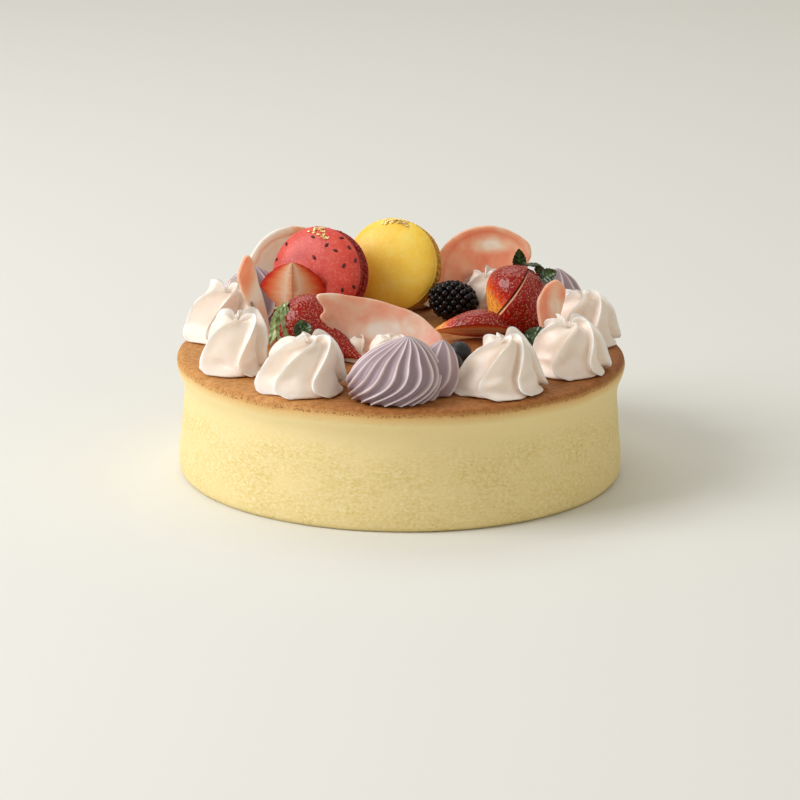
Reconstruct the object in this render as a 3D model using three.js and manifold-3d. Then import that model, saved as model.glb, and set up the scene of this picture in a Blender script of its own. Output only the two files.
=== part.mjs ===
// A souffle cheesecake, about 205 mm across, dressed with piped cream, two macarons, berries and
// curved pieces of marbled white chocolate. It stands on its own flat underside.
// Millimetres, +Z up. The origin is the middle of the underside, and the front faces -Y.

import * as THREE from "three";
import { mergeVertices } from "three/addons/utils/BufferGeometryUtils.js";
import Module from "manifold-3d";

const wasm = await Module();
wasm.setup();

// Driving dimensions of the cake
const RIM_RADIUS = 101.5; // widest line of the browned rim
const WAIST_RADIUS = 98.3; // where the side drew in under the rim as it cooled
const BELLY_RADIUS = 100.8;
const CAKE_TOP = 54.5;
const RIM_HEIGHT = 51.6;
const WAIST_HEIGHT = 38;
const BELLY_HEIGHT = 6;

// Clearances
const GAP = 0.35; // between two pieces that press on each other
const TABLE = CAKE_TOP + 0.3; // where toppings stand

// Sides and rows of the facets
const CAKE_SIDES = 40;
const MACARON_SIDES = 20;
const BERRY_SIDES = 16;

const FULL_TURN = 2 * Math.PI;
const group = new THREE.Group();
group.name = "dressed_cheesecake";

// Finishes

const finish = (color, roughness) =>
  new THREE.MeshStandardMaterial({ color, roughness, metalness: 0 });

const sponge = finish(0xe6cd8c, 0.85);
const whiteCream = finish(0xf7e9df, 0.5);
const lavenderCream = finish(0xb9a3a8, 0.55);
const marbledChocolate = finish(0xe8a795, 0.35);
const redShell = finish(0xc23b32, 0.7);
const yellowShell = finish(0xe6b837, 0.7);
const redFilling = finish(0x8e1d22, 0.5);
const yellowFilling = finish(0xd79a2b, 0.5);
const strawberryFlesh = finish(0xb8211b, 0.3);
const brambleFlesh = finish(0x14101a, 0.25);
const blueberrySkin = finish(0x23262f, 0.55);
const leafGreen = finish(0x2f5a2b, 0.5);

// Closed skins

// Rings of points, all of one length and anticlockwise seen from the end, closed by a point at
// each end.
function skin(start, rings, end) {
  const count = rings[0].length;
  const points = [start, ...rings.flat(), end];
  const at = (ring, k) => 1 + ring * count + (k % count);
  const last = rings.length - 1;
  const faces = [];
  for (let k = 0; k < count; k++) {
    faces.push(0, at(0, k + 1), at(0, k));
    for (let ring = 0; ring < last; ring++) {
      faces.push(at(ring, k), at(ring, k + 1), at(ring + 1, k + 1));
      faces.push(at(ring, k), at(ring + 1, k + 1), at(ring + 1, k));
    }
    faces.push(at(last, k), at(last, k + 1), points.length - 1);
  }
  const geometry = new THREE.BufferGeometry().setFromPoints(points);
  geometry.setIndex(faces);
  return geometry;
}

// A body of revolution about Z, from [radius, height] pairs that run upwards. ripple(angle, row)
// is added to the radius.
function turned(profile, sides, ripple = () => 0) {
  const rings = profile.slice(1, -1).map(([radius, height], row) =>
    Array.from({ length: sides }, (_, k) => {
      const angle = (FULL_TURN * k) / sides;
      const r = radius + ripple(angle, row);
      return new THREE.Vector3(r * Math.cos(angle), r * Math.sin(angle), height);
    }),
  );
  const pole = ([, height]) => new THREE.Vector3(0, 0, height);
  return skin(pole(profile[0]), rings, pole(profile.at(-1)));
}

// A smooth curve through a few [position, value] knots.
function through(knots) {
  const curve = new THREE.CatmullRomCurve3(
    knots.map(([position, value]) => new THREE.Vector3(position, value, 0)),
    false,
    "centripetal",
  );
  const samples = curve.getPoints(80);
  return (position) => {
    const after = samples.findIndex((sample) => sample.x >= position);
    if (after <= 0) return samples[after < 0 ? samples.length - 1 : 0].y;
    const [a, b] = [samples[after - 1], samples[after]];
    return a.y + ((b.y - a.y) * (position - a.x)) / Math.max(b.x - a.x, 1e-9);
  };
}

// Solids, joins and cuts

function solidOf(geometry) {
  const bare = geometry.clone();
  bare.deleteAttribute("normal");
  bare.deleteAttribute("uv");
  const merged = mergeVertices(bare, 1e-4);
  return new wasm.Manifold(
    new wasm.Mesh({
      numProp: 3,
      vertProperties: merged.attributes.position.array,
      triVerts: new Uint32Array(merged.index.array),
    }),
  );
}

function geometryOf(solid) {
  const { vertProperties, triVerts } = solid.getMesh();
  const geometry = new THREE.BufferGeometry();
  geometry.setAttribute("position", new THREE.BufferAttribute(vertProperties, 3));
  geometry.setIndex(new THREE.BufferAttribute(triVerts, 1));
  return geometry;
}

function fused(geometries) {
  return geometries.map(solidOf).reduce((whole, next) => whole.add(next));
}

function largestBody(solid) {
  const bodies = solid.decompose();
  return bodies.reduce((best, body) => (body.volume() > best.volume() ? body : best));
}

// The body with its surface moved out by the gap. At a corner each face counts by its angle.
function grown(solid) {
  const geometry = geometryOf(solid);
  const { position } = geometry.attributes;
  const faces = geometry.index.array;
  const point = (corner) => new THREE.Vector3().fromBufferAttribute(position, faces[corner]);
  const outward = Array.from({ length: position.count }, () => new THREE.Vector3());
  for (let face = 0; face < faces.length; face += 3) {
    const corners = [0, 1, 2].map((k) => point(face + k));
    const normal = new THREE.Triangle(...corners).getNormal(new THREE.Vector3());
    for (let k = 0; k < 3; k++) {
      const next = corners[(k + 1) % 3].clone().sub(corners[k]);
      const last = corners[(k + 2) % 3].clone().sub(corners[k]);
      outward[faces[face + k]].addScaledVector(normal, next.angleTo(last));
    }
  }
  outward.forEach((direction, k) => {
    const moved = new THREE.Vector3().fromBufferAttribute(position, k);
    moved.addScaledVector(direction.normalize(), GAP);
    position.setXYZ(k, moved.x, moved.y, moved.z);
  });
  return solid.add(solidOf(geometry));
}

const rooms = [];

const boxesMeet = (a, b) =>
  [0, 1, 2].every((axis) => a.min[axis] < b.max[axis] && b.min[axis] < a.max[axis]);

// Puts a piece on the cake. It gives way, by the gap, to every piece placed before it.
function place(name, whole, material, at) {
  let solid = whole;
  for (const room of rooms) {
    if (boxesMeet(solid.boundingBox(), room.boundingBox())) {
      solid = solid.subtract(room);
    }
  }
  solid = largestBody(solid);
  rooms.push(grown(solid));
  const geometry = geometryOf(solid).translate(-at.x, -at.y, -at.z);
  geometry.computeVertexNormals();
  const mesh = new THREE.Mesh(geometry, material);
  mesh.name = name;
  mesh.position.copy(at);
  group.add(mesh);
}

const vector = (x, y, z) => new THREE.Vector3(x, y, z);

// A placement whose local Z points along axis, and whose local Y leans towards up.
function standing(at, axis, up = vector(0, 0, 1)) {
  const z = axis.clone().normalize();
  const x = new THREE.Vector3().crossVectors(up, z).normalize();
  const y = new THREE.Vector3().crossVectors(z, x);
  return new THREE.Matrix4().makeBasis(x, y, z).setPosition(at);
}

// The cake: one lofty sponge with a browned, rounded rim over a slight waist

function cake() {
  const profile = [
    [0, 0],
    [98.8, 0],
    [BELLY_RADIUS - 0.5, 2],
    [BELLY_RADIUS, BELLY_HEIGHT],
    [100.3, 14],
    [99.2, 25],
    [WAIST_RADIUS, WAIST_HEIGHT],
    [99.2, 43],
    [100.9, 47],
    [RIM_RADIUS, RIM_HEIGHT - 1.2],
    [RIM_RADIUS - 0.1, RIM_HEIGHT + 0.6],
    [RIM_RADIUS - 1.4, CAKE_TOP - 0.5],
    [RIM_RADIUS - 4, CAKE_TOP],
    [0, CAKE_TOP],
  ];
  const uneven = (angle, row) => 0.25 * Math.sin(2 * angle + 0.7) * Math.sin(row / 3);
  place("cake", solidOf(turned(profile, CAKE_SIDES, uneven)), sponge, vector(0, 0, 0));
}

// Macarons: a filling between two domed shells, each with a ruffled foot

const FILLING_HALF = 2;
const FOOT_TOP = 4.4;
const SHELL_TOP = 10.2;

const domeHeight = (share) =>
  FOOT_TOP + (SHELL_TOP - FOOT_TOP) * Math.pow(1 - Math.pow(share, 2.6), 0.6);

function shellProfile(radius) {
  return [
    [0, FILLING_HALF + 0.45],
    [radius - 1.2, FILLING_HALF + 0.45],
    [radius + 0.1, FILLING_HALF + 1.3],
    [radius - 0.4, FOOT_TOP - 0.3],
    [radius, FOOT_TOP + 0.3],
    ...[0.96, 0.84, 0.58].map((share) => [share * radius, domeHeight(share)]),
    [0, SHELL_TOP],
  ];
}

// A flattened seed or flake on the dome, at a share of the radius and an angle.
function grain(radius, [share, angle], [length, width, height]) {
  return new THREE.OctahedronGeometry(1)
    .scale(length, width, height)
    .rotateZ(2.4 * angle)
    .rotateY(1.2 * share * share)
    .translate(share * radius, 0, domeHeight(share) + 0.1)
    .rotateZ(angle);
}

function macaron({ name, radius, at, axis, shell, filling, grains }) {
  const stand = (geometry) => geometry.applyMatrix4(standing(at, axis));
  const ruffle = (angle, row) => (row === 1 ? 0.4 * Math.sin(7 * angle + 1) : 0);
  const front = [turned(shellProfile(radius), MACARON_SIDES, ruffle), ...grains];
  const back = turned(shellProfile(radius), MACARON_SIDES, ruffle).rotateX(Math.PI);
  const jam = turned(
    [
      [0, -FILLING_HALF],
      [radius - 2, -FILLING_HALF],
      [radius - 1.3, 0],
      [radius - 2, FILLING_HALF],
      [0, FILLING_HALF],
    ],
    MACARON_SIDES,
  );
  place(name + "_front_shell", fused(front.map(stand)), shell, at);
  place(name + "_filling", solidOf(stand(jam)), filling, at);
  place(name + "_back_shell", solidOf(stand(back)), shell, at);
}

const MACARON_RADIUS = 22.1;

const SEED_PLACES = [
  [0.77, 1.73],
  [0.66, 1.22],
  [0.68, 0.87],
  [0.33, 1.58],
  [0.93, 0.73],
  [0.7, 0.33],
  [0.93, 2.49],
  [0.95, 2.92],
  [0.94, 1.02],
  [0.94, 0.4],
  [0.93, -0.21],
  [0.75, -0.39],
];
const RED_GOLD_PLACES = [
  [0.97, 1.7],
  [0.97, 1.52],
  [0.8, 1.42],
];
const YELLOW_GOLD_PLACES = [
  [0.98, 1.76],
  [0.985, 1.6],
  [0.98, 1.44],
  [0.97, 1.3],
];

function macarons() {
  const seedSize = [1.2, 0.6, 0.6];
  const goldSize = [1.9, 1.3, 0.6];
  macaron({
    name: "red_macaron",
    radius: MACARON_RADIUS,
    at: vector(-37.8, 51, 77.2),
    axis: vector(-0.36, -0.88, 0.3),
    shell: redShell,
    filling: redFilling,
    grains: [
      ...SEED_PLACES.map((spot) => grain(MACARON_RADIUS, spot, seedSize)),
      ...RED_GOLD_PLACES.map((spot) => grain(MACARON_RADIUS, spot, goldSize)),
    ],
  });
  macaron({
    name: "yellow_macaron",
    radius: MACARON_RADIUS,
    at: vector(-3.6, 70, 77.2),
    axis: vector(-0.26, -0.9, 0.33),
    shell: yellowShell,
    filling: yellowFilling,
    grains: YELLOW_GOLD_PLACES.map((spot) => grain(MACARON_RADIUS, spot, goldSize)),
  });
}

// Strawberries: a blunt cone with a round shoulder, whole, halved or fanned

// The tip is at the origin and the stem end is on +Z. A larger taper puts the widest place
// nearer the stem end.
function strawberry(length, radius, taper = 1.3) {
  const rows = [0, 0.05, 0.17, 0.32, 0.5, 0.68, 0.84, 0.95, 1];
  const profile = rows.map((share) => [
    radius * Math.pow(Math.max(Math.sin(Math.PI * Math.pow(share, taper)), 0), 0.66),
    length * share,
  ]);
  return turned(profile, BERRY_SIDES);
}

// What is left on the +X side of a knife cut along the berry, this far from its middle.
function halved(geometry, offset = 0) {
  const knife = new THREE.BoxGeometry(120, 120, 160).translate(offset - 60, 0, 0);
  return geometryOf(solidOf(geometry).subtract(solidOf(knife)));
}

// A pointed leaf from one point to another: a thin wavy sheet whose upper side looks towards
// facing, and which curls that way at its tip.
function leaf(from, to, facing, width, curl) {
  const thickness = 0.7;
  const wave = 0.6;
  const count = 8;
  const length = to.distanceTo(from);
  const edge = (side) =>
    Array.from({ length: count }, (_, k) => {
      const angle = (FULL_TURN * k) / count;
      const along = 0.5 - 0.5 * Math.cos(angle);
      const across = -Math.sin(angle) * Math.pow(Math.sin(Math.PI * along), 0.3);
      const rise = curl * along * along + wave * across * across;
      return vector(length * along, 0.5 * width * across, rise + side * thickness);
    });
  const middle = (side) => vector(0.45 * length, 0, 0.2 * curl + side * thickness);
  const x = to.clone().sub(from).normalize();
  const y = new THREE.Vector3().crossVectors(facing, x).normalize();
  const z = new THREE.Vector3().crossVectors(x, y);
  const placement = new THREE.Matrix4().makeBasis(x, y, z).setPosition(from);
  return skin(middle(-0.5), [edge(-0.5), edge(0.5)], middle(0.5)).applyMatrix4(placement);
}

// Leaves that spread from one stem, as [tip, facing, width, curl], or from a root of their own.
function leaves(name, stem, blades) {
  const pieces = blades.map(([tip, facing, width, curl, root = stem]) =>
    leaf(root.clone().lerp(tip, -0.1), tip, facing, width, curl),
  );
  place(name, fused(pieces), leafGreen, stem);
}

// Left of the middle a whole one lies on its side, its leaves towards the left front.
function wholeStrawberry() {
  const tip = vector(-14, -30.5, 56.8);
  const top = vector(-54, 0.5, 71);
  const axis = top.clone().sub(tip);
  const berry = strawberry(axis.length(), 15.2, 2.3).applyMatrix4(standing(tip, axis));
  place("strawberry_whole", solidOf(berry), strawberryFlesh, tip);
  leaves("strawberry_whole_leaves", vector(-52.5, -16, 78.5), [
    [vector(-58.5, -14.5, 61), vector(-0.5, -0.85, 0.15), 6.5, 0.5],
    [vector(-53.8, -19.5, 60.5), vector(-0.1, -0.95, 0.25), 6.5, -0.8],
    [vector(-48.7, -24.5, 62), vector(0.3, -0.9, 0.3), 6, -1.5],
    [vector(-55.5, -3, 76), vector(-0.3, -0.1, 0.95), 7, -1.5],
  ]);
}

// Behind it two quarters stand tip up, opened like a book with the cut faces to the front.
function quarteredStrawberry() {
  const foot = vector(-50.5, 33.5, TABLE);
  const opened = THREE.MathUtils.degToRad(14);
  const front = new THREE.BoxGeometry(80, 60, 160).translate(0, -30, 0);
  const under = new THREE.BoxGeometry(80, 80, 20).translate(0, 0, -10);
  const knives = fused([front, under]);
  const quarter = (side, turn) => {
    const berry = strawberry(33, 16.5, 0.95).rotateX(Math.PI).translate(0, 0, 32.2);
    const half = halved(berry, 0.25).rotateZ(side);
    const cut = geometryOf(solidOf(half).subtract(knives));
    return solidOf(cut.rotateZ(turn).translate(foot.x, foot.y, foot.z));
  };
  place("strawberry_quarter_right", quarter(0, opened), strawberryFlesh, foot);
  place("strawberry_quarter_left", quarter(Math.PI, -opened), strawberryFlesh, foot);
}

// On the right one leans back with its leaves up. A slice cut from its front right has slid
// forwards and down, and still leans on it.
function fannedStrawberry() {
  const tip = vector(43.4, 28.5, 56.4);
  const top = vector(62.7, 38.5, 83.6);
  const axis = top.clone().sub(tip);
  const towardsFront = vector(0, -1, 0.3);
  const [radius, cutAt, gap, depth] = [16.6, 4.2, 0.8, 4];
  const [slidForwards, slidDown] = [4, 2.5];
  const splay = THREE.MathUtils.degToRad(8);
  const stand = (geometry) =>
    solidOf(geometry.rotateZ(splay).applyMatrix4(standing(tip, axis, towardsFront)));
  const opening = new THREE.BoxGeometry(80, 80, 160).translate(cutAt + gap - 40, 40 - depth, 0);
  const body = solidOf(strawberry(axis.length(), radius)).subtract(solidOf(opening));
  place("strawberry_fan_left", stand(geometryOf(body)), strawberryFlesh, tip);
  const behind = new THREE.BoxGeometry(80, 80, 160).translate(0, gap - depth - 40, 0);
  const right = halved(strawberry(axis.length(), radius).rotateZ(Math.PI), -cutAt);
  const slice = geometryOf(solidOf(right.rotateZ(-Math.PI)).subtract(solidOf(behind)));
  const slid = stand(slice.translate(0, slidForwards, -slidDown));
  place("strawberry_fan_right", slid, strawberryFlesh, tip);
  leaves("strawberry_fan_leaves", top.clone().add(axis.clone().setLength(1.6)), [
    [vector(52.5, 50.5, 84.5), vector(-0.3, 0.4, 0.85), 6, -1],
    [vector(54.2, 49, 91.3), vector(0.1, -0.95, 0.2), 6.5, 0.6, vector(54.8, 49.5, 81)],
    [vector(70.5, 44, 86), vector(0.3, 0.3, 0.9), 5, -1.5],
    [vector(71.2, 28.5, 85.4), vector(0, -0.85, 0.5), 7, -0.4, vector(64.6, 29, 81.5)],
  ]);
}

// In front of the fan a half leans back, with its cut face to the front and one edge on the cake.
function halvedStrawberry() {
  const radius = 9.8;
  const lean = THREE.MathUtils.degToRad(32);
  const lift = radius * Math.sin(lean);
  const tip = vector(14.5, 15.5, TABLE + lift);
  const top = vector(51.5, 16.5, TABLE + lift);
  const axis = top.clone().sub(tip);
  const half = halved(strawberry(axis.length(), radius)).rotateZ(Math.PI / 2 - lean);
  const lying = half.applyMatrix4(standing(tip, axis));
  place("strawberry_half", solidOf(lying), strawberryFlesh, tip);
}

// Glossy sprigs of small dark leaves lie in the gaps at the left and right front
function sprigs() {
  leaves("sprig_left", vector(-45, -25, 73.7), [
    [vector(-43, -28.5, 62.7), vector(-0.1, -0.9, 0.4), 7, 0.8],
    [vector(-39.5, -28, 69.2), vector(0.2, -0.8, 0.6), 4.5, 0.5],
  ]);
  leaves("sprig_right", vector(56.5, -17.5, 67.5), [
    [vector(67, -19, 67.5), vector(0.1, -0.75, 0.65), 6.5, 1],
    [vector(60.5, -21, 62.3), vector(0, -0.9, 0.4), 5, 0.6],
  ]);
}

// Small fruit

// A bramble fruit is a core covered with round drupelets, set along a spiral.
function bramble() {
  const at = vector(24.3, 53.5, 64.9);
  const [half, radius, bead] = [9.4, 7.4, 3.2];
  const count = 20;
  const goldenAngle = Math.PI * (3 - Math.sqrt(5));
  const stand = (geometry) => geometry.rotateY(0.14).rotateZ(-0.1).translate(at.x, at.y, at.z);
  const core = new THREE.IcosahedronGeometry(1, 1).scale(half, radius, radius);
  const beads = Array.from({ length: count }, (_, k) => {
    const along = 1 - (2 * (k + 0.5)) / count;
    const around = goldenAngle * k;
    const ring = Math.sqrt(1 - along * along);
    return new THREE.IcosahedronGeometry(bead, 0).translate(
      half * along,
      radius * ring * Math.cos(around),
      radius * ring * Math.sin(around),
    );
  });
  place("dark_bramble", fused([core, ...beads].map(stand)), brambleFlesh, at);
}

function blueberry(name, radius, x, y) {
  const rows = 7;
  const squash = 0.92;
  const at = vector(x, y, TABLE + squash * radius);
  const profile = Array.from({ length: rows + 1 }, (_, k) => {
    const angle = (Math.PI * k) / rows;
    return [radius * Math.sin(angle), -squash * radius * Math.cos(angle)];
  });
  place(name, solidOf(turned(profile, 12).translate(at.x, at.y, at.z)), blueberrySkin, at);
}

// White chocolate set in a shallow dish of a mould, marbled and broken into pieces

// A curved sheet within a closed outline of [u, v] points, centred on its own middle. It is
// hollow towards local Z, rising by bow at a distance of reach from the middle.
function sheet(outline, { bow, reach, sides }) {
  const thickness = 1.6;
  const curve = new THREE.CatmullRomCurve3(
    outline.map(([u, v]) => vector(u, v, 0)),
    true,
    "centripetal",
  );
  const edge = curve.getSpacedPoints(sides).slice(0, sides);
  const ring = (share, side) =>
    edge.map(({ x, y }) => {
      const [u, v] = [share * x, share * y];
      const rise = (bow * (u * u + v * v)) / (reach * reach);
      return vector(u, v, rise + side * thickness);
    });
  const middle = (side) => vector(0, 0, side * thickness);
  return skin(
    middle(-0.5),
    [ring(0.6, -0.5), ring(1, -0.5), ring(1, 0.5), ring(0.6, 0.5)],
    middle(0.5),
  );
}

// A round saucer's outline, broken off straight at some sides.
function brokenRound(halfWidth, halfHeight, breaks) {
  const count = 24;
  return Array.from({ length: count }, (_, k) => {
    const angle = (FULL_TURN * k) / count;
    let [u, v] = [halfWidth * Math.cos(angle), halfHeight * Math.sin(angle)];
    for (const { towards, distance } of breaks) {
      const beyond = (u * Math.cos(towards) + v * Math.sin(towards)) / distance;
      if (beyond > 1) [u, v] = [u / beyond, v / beyond];
    }
    return [u, v];
  });
}

const FRONT_SHARD = [
  [-25.3, 5.6],
  [-27.1, 2.4],
  [-21.2, -3.9],
  [-15.7, -7.5],
  [-6.2, -12.8],
  [7, -14],
  [17.2, -14],
  [25.3, -12.5],
  [27.5, -8.4],
  [22.9, -1.7],
  [16.1, 4.6],
  [7.1, 8.6],
  [-3.8, 11.7],
  [-14.6, 12.9],
  [-22.7, 13.3],
  [-28.5, 11.5],
];
const LEFT_SHARD = [
  [-5.7, 17.7],
  [-7.1, 12.8],
  [-5.4, 6.7],
  [-2.2, -0.6],
  [1.3, -11],
  [3.4, -19.5],
  [7.4, -20],
  [7.5, -12],
  [6.1, 0],
  [4, 7],
  [1.3, 15],
  [-1.4, 20.8],
  [-3.9, 21.6],
];
const RIGHT_SHARD = [
  [-1.7, 9],
  [-5.5, 5.3],
  [-7.9, 1.1],
  [-8.4, -6.1],
  [-8.2, -12],
  [-6.5, -20],
  [-1.5, -20],
  [1.4, -9.5],
  [3.9, -3.2],
  [5.8, 2],
  [5.7, 6.5],
  [2.4, 10],
];

function chocolate() {
  const shard = (name, at, axis, outline, curvature) => {
    const geometry = sheet(outline, curvature).applyMatrix4(standing(at, axis));
    place(name, solidOf(geometry), marbledChocolate, at);
  };
  shard("chocolate_front", vector(-9.5, -14, 69.9), vector(0.05, -0.88, 0.46), FRONT_SHARD, {
    bow: 6,
    reach: 25,
    sides: 24,
  });
  shard(
    "chocolate_back_left",
    vector(-52.5, 71.6, 69.6),
    vector(0.44, -0.86, 0.24),
    brokenRound(25.3, 25.3, [
      { towards: -Math.PI / 2, distance: 14 },
      { towards: 0, distance: 14 },
    ]),
    { bow: 5, reach: 25, sides: 22 },
  );
  shard(
    "chocolate_back_right",
    vector(41, 79, 70.1),
    vector(-0.06, -0.95, 0.3),
    brokenRound(25.5, 24, [
      { towards: -Math.PI / 2, distance: 14.2 },
      { towards: -0.3, distance: 16 },
    ]),
    { bow: 5, reach: 25, sides: 22 },
  );
  shard("chocolate_left", vector(-68, 4, 76), vector(0.5, -0.8, 0.1), LEFT_SHARD, {
    bow: 1.8,
    reach: 14,
    sides: 18,
  });
  shard("chocolate_right", vector(68, -8, 79.5), vector(0.42, -0.9, 0.2), RIGHT_SHARD, {
    bow: 1.6,
    reach: 10,
    sides: 18,
  });
}

// Piped cream

// A star nozzle leaves ridges with hollows between them, which wind round as they rise and meet
// in a tip. crest(phase) gives the share of the radius from one ridge to the next.
function piped({ radius, height, ridges, steps, rows, crest, wind, shape, tip = [0, 0] }) {
  const sides = ridges * steps;
  const outline = through(shape);
  const turnAt = through(wind);
  const rings = rows.map((share) =>
    Array.from({ length: sides }, (_, k) => {
      const lobe = Math.floor(k / steps);
      const uneven = 1 + 0.045 * Math.sin(2.3 * lobe + 1.7 * ridges);
      const angle = (FULL_TURN * k) / sides + turnAt(share);
      const r = radius * outline(share) * crest((k % steps) / steps) * uneven;
      const drift = share * share;
      return vector(
        r * Math.cos(angle) + tip[0] * drift,
        r * Math.sin(angle) + tip[1] * drift,
        height * share,
      );
    }),
  );
  return skin(vector(0, 0, 0), rings, vector(tip[0], tip[1], height));
}

// Broad petals: each falls slowly from its own lip to a hollow under the next one's.
function whiteRosette(name, x, y, radius, height, { start = 0, tip = [0, 0], ridges = 6 } = {}) {
  const geometry = piped({
    radius,
    height,
    ridges,
    steps: 3,
    rows: [0, 0.12, 0.33, 0.56, 0.77, 0.92],
    crest: (phase) => (phase === 0 ? 1 : 0.86 - 0.15 * phase),
    wind: [
      [0, start + 0.3],
      [0.15, start - 0.1],
      [0.3, start - 0.15],
      [0.6, start + 0.1],
      [1, start + 1],
    ],
    shape: [
      [0, 0.92],
      [0.12, 1.02],
      [0.33, 0.97],
      [0.56, 0.9],
      [0.77, 0.77],
      [0.92, 0.5],
      [1, 0.2],
    ],
    tip,
  });
  const at = vector(x, y, TABLE);
  place(name, solidOf(geometry.translate(at.x, at.y, at.z)), whiteCream, at);
}

// Fine ridges: they run in an S from the foot to the crown of a dome.
function lavenderRosette(name, x, y, radius, height, { ridges, start = 0, tip = [0, 0] }) {
  const geometry = piped({
    radius,
    height,
    ridges,
    steps: 2,
    rows: [0, 0.13, 0.3, 0.5, 0.7, 0.87, 0.96],
    crest: (phase) => (phase === 0 ? 1 : 0.87),
    wind: [
      [0, start - 0.75],
      [0.13, start - 0.48],
      [0.3, start - 0.12],
      [0.5, start + 0.03],
      [1, start + 0.1],
    ],
    shape: [
      [0, 0.9],
      [0.13, 0.98],
      [0.3, 1],
      [0.5, 0.93],
      [0.7, 0.74],
      [0.87, 0.44],
      [0.96, 0.2],
      [1, 0.06],
    ],
    tip,
  });
  const at = vector(x, y, TABLE);
  place(name, solidOf(geometry.translate(at.x, at.y, at.z)), lavenderCream, at);
}

function cream() {
  lavenderRosette("lavender_front", -3, -79.3, 20.8, 26.8, {
    ridges: 19,
    start: 0.3,
    tip: [6.2, 0.5],
  });
  lavenderRosette("lavender_front_small", 14, -73, 10.8, 23.5, { ridges: 7, tip: [4, 2] });
  lavenderRosette("lavender_back_left", -69, 47, 17, 27.5, { ridges: 12, start: 0.2 });
  lavenderRosette("lavender_back_right", 69.5, 49, 15.8, 27, {
    ridges: 11,
    start: 0.5,
    tip: [3, 0],
  });

  whiteRosette("cream_front_left", -42.5, -67.5, 20.8, 24.5, { start: 0.2, tip: [3, 1] });
  whiteRosette("cream_front_right", 43, -66, 20.8, 25.5, { start: 1, tip: [1, 0] });
  whiteRosette("cream_left_front", -74.5, -38, 16.2, 26.5, {
    start: 0.7,
    tip: [3, 2],
    ridges: 5,
  });
  whiteRosette("cream_right_front", 75, -34.5, 17.8, 24.5, { start: 0.1, tip: [-2, 0] });
  whiteRosette("cream_left", -82.3, 17.5, 17.8, 26, { start: 0.4, tip: [3, 1], ridges: 5 });
  whiteRosette("cream_right", 83, 17, 17.4, 24, { start: 0.9, tip: [-1, 1] });
  whiteRosette("cream_inner_left", -20, -18, 6.2, 12, { start: 0.3, ridges: 4 });
  whiteRosette("cream_inner_right", -4.5, -35, 11.5, 17.5, { start: 0.9, ridges: 5 });
  whiteRosette("cream_inner_back", 39.3, 67.5, 12.5, 21.5, { start: 0.5, ridges: 5 });
  whiteRosette("cream_back_right", 35.5, 84, 13, 19, { start: 0.2, ridges: 5 });
  whiteRosette("cream_back", 3, 86, 14.5, 22, { start: 0.3 });
  whiteRosette("cream_back_left", -29, 76, 15, 22, { start: 0.8 });
}

cake();
macarons();
wholeStrawberry();
quarteredStrawberry();
fannedStrawberry();
halvedStrawberry();
bramble();
blueberry("blueberry_right", 5.6, 26, -23.5);
blueberry("blueberry_left", 5.8, 21.5, -44);
chocolate();
sprigs();
cream();

export default group;
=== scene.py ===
# A souffle cheesecake dressed with piped cream, macarons, berries and marbled white chocolate.
# Metres, +Z up; the origin is the middle of the cake's underside and the front faces -Y.

import math
from functools import partial

import bpy
import numpy as np
from mathutils import Matrix, Vector
from mathutils.kdtree import KDTree


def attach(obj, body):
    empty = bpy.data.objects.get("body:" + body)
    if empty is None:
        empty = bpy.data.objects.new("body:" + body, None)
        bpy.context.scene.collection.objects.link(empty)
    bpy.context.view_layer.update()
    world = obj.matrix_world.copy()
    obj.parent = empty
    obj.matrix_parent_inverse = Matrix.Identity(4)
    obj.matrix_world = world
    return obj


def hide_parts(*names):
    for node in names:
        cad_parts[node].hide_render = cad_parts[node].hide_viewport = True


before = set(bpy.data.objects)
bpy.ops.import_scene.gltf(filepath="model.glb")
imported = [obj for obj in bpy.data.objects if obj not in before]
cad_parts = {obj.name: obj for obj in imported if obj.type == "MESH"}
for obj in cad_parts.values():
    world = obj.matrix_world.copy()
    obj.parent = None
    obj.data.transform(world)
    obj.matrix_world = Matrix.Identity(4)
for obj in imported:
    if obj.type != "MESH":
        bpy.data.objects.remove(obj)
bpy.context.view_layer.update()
bpy.ops.object.select_all(action="DESELECT")

MM = 0.001


# Camera: a long lens a metre and a half in front of the cake, looking down by about 16 degrees.
# The picture is square and takes in the same angle as the photograph.
SENSOR_WIDTH = 36
LENS_PER_WIDTH = 4.265


def axes(x, y, z):
    """The rotation that turns the axes to these three."""
    return Matrix((x, y, z)).transposed().to_4x4()


camera_at = Vector((0, -1495.96, 449.38)) * MM
camera_right = Vector((0.999961, 0.002514, 0.008410))
camera_up = Vector((-0.008776, 0.269177, 0.963051))
camera_back = camera_right.cross(camera_up)
bpy.ops.object.camera_add()
camera = bpy.context.object
camera.name = "camera"
camera.matrix_world = Matrix.Translation(camera_at) @ axes(camera_right, camera_up, camera_back)
camera.data.sensor_width = SENSOR_WIDTH
camera.data.lens = SENSOR_WIDTH * LENS_PER_WIDTH
camera.data.clip_end = 20
bpy.context.scene.camera = camera
bpy.context.scene.view_settings.view_transform = "Standard"


# Studio: a pale floor that curves up into a wall behind, as one sheet of paper.
# It is matt, so that it shows only the soft shadow under the cake.
def linear(hex_code):
    parts = [int(hex_code[k : k + 2], 16) / 255 for k in (1, 3, 5)]
    return [c / 12.92 if c <= 0.04045 else ((c + 0.055) / 1.055) ** 2.4 for c in parts] + [1]


def plug(shader, *values, **given):
    """Gives a node's inputs, in order or by name, each a value, a hex colour or an output."""
    names = {s.name.replace(" ", "_").lower(): s for s in reversed(shader.inputs) if s.enabled}
    named = [(names[key], value) for key, value in given.items()]
    for socket, value in [*zip(shader.inputs, values), *named]:
        if isinstance(value, bpy.types.NodeSocket):
            shader.id_data.links.new(value, socket)
        else:
            socket.default_value = linear(value) if isinstance(value, str) else value


SETTINGS = ("attribute_name", "blend_type", "vector_type")


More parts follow.
